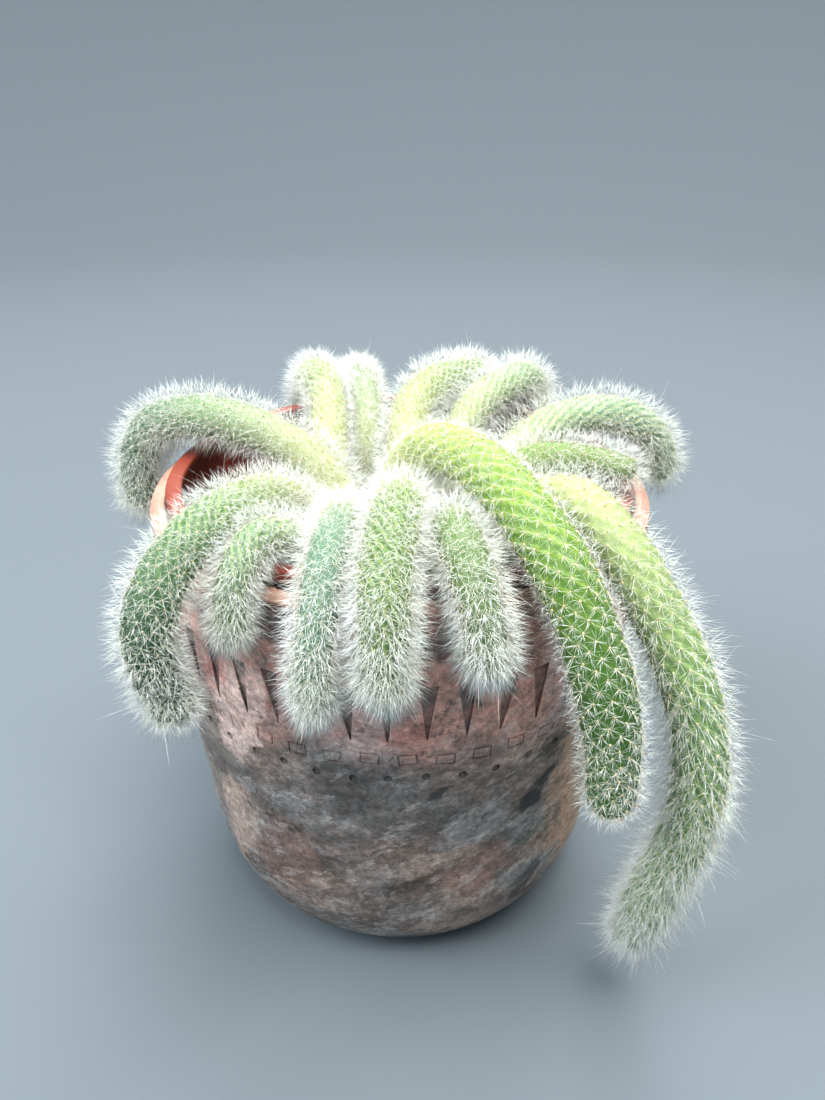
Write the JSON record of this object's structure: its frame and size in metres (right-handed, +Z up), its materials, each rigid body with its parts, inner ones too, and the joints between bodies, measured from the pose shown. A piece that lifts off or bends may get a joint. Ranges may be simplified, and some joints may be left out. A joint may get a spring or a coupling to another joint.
{
  "type": "potted monkey tail cactus",
  "caption": "Trailing leafless cactus with white hair-like spines in a plastic nursery pot, standing inside a hand-made clay pot with a pressed band of marks.",
  "frame": {"origin": "centre of the clay pot's flat base", "axes": "+Z up along the pot's axis; the side seen in the picture faces -Y and the longest stem trails towards +X and -Y"},
  "size_m": [0.1974, 0.2063, 0.1904],
  "materials": {
    "clay_pot": "burnished, smoke-fired, matt",
    "nursery_pot": "terracotta-orange plastic, satin",
    "soil": "loose dark potting soil",
    "stem_left_arch": "green living skin under white spines",
    "stem_front_left_outer": "green living skin under white spines",
    "stem_front_left_short": "green living skin under white spines",
    "stem_front_slim": "green living skin under white spines",
    "stem_front_middle": "green living skin under white spines",
    "stem_front_right_short": "green living skin under white spines",
    "stem_front_right_main": "green living skin under white spines",
    "stem_right_long": "green living skin under white spines",
    "stem_right_resting": "green living skin under white spines",
    "stem_right_back": "green living skin under white spines",
    "stem_back_right": "green living skin under white spines",
    "stem_back_middle": "green living skin under white spines",
    "stem_back_left": "green living skin under white spines",
    "stem_back_young": "green living skin under white spines"
  },
  "bodies": {
    "root": {"clay_pot": "clay_pot", "nursery_pot": "nursery_pot", "soil": "soil", "stem_left_arch": "stem_left_arch", "stem_front_left_outer": "stem_front_left_outer", "stem_front_left_short": "stem_front_left_short", "stem_front_slim": "stem_front_slim", "stem_front_middle": "stem_front_middle", "stem_front_right_short": "stem_front_right_short", "stem_front_right_main": "stem_front_right_main", "stem_right_long": "stem_right_long", "stem_right_resting": "stem_right_resting", "stem_right_back": "stem_right_back", "stem_back_right": "stem_back_right", "stem_back_middle": "stem_back_middle", "stem_back_left": "stem_back_left", "stem_back_young": "stem_back_young"}
  },
  "joints": []
}
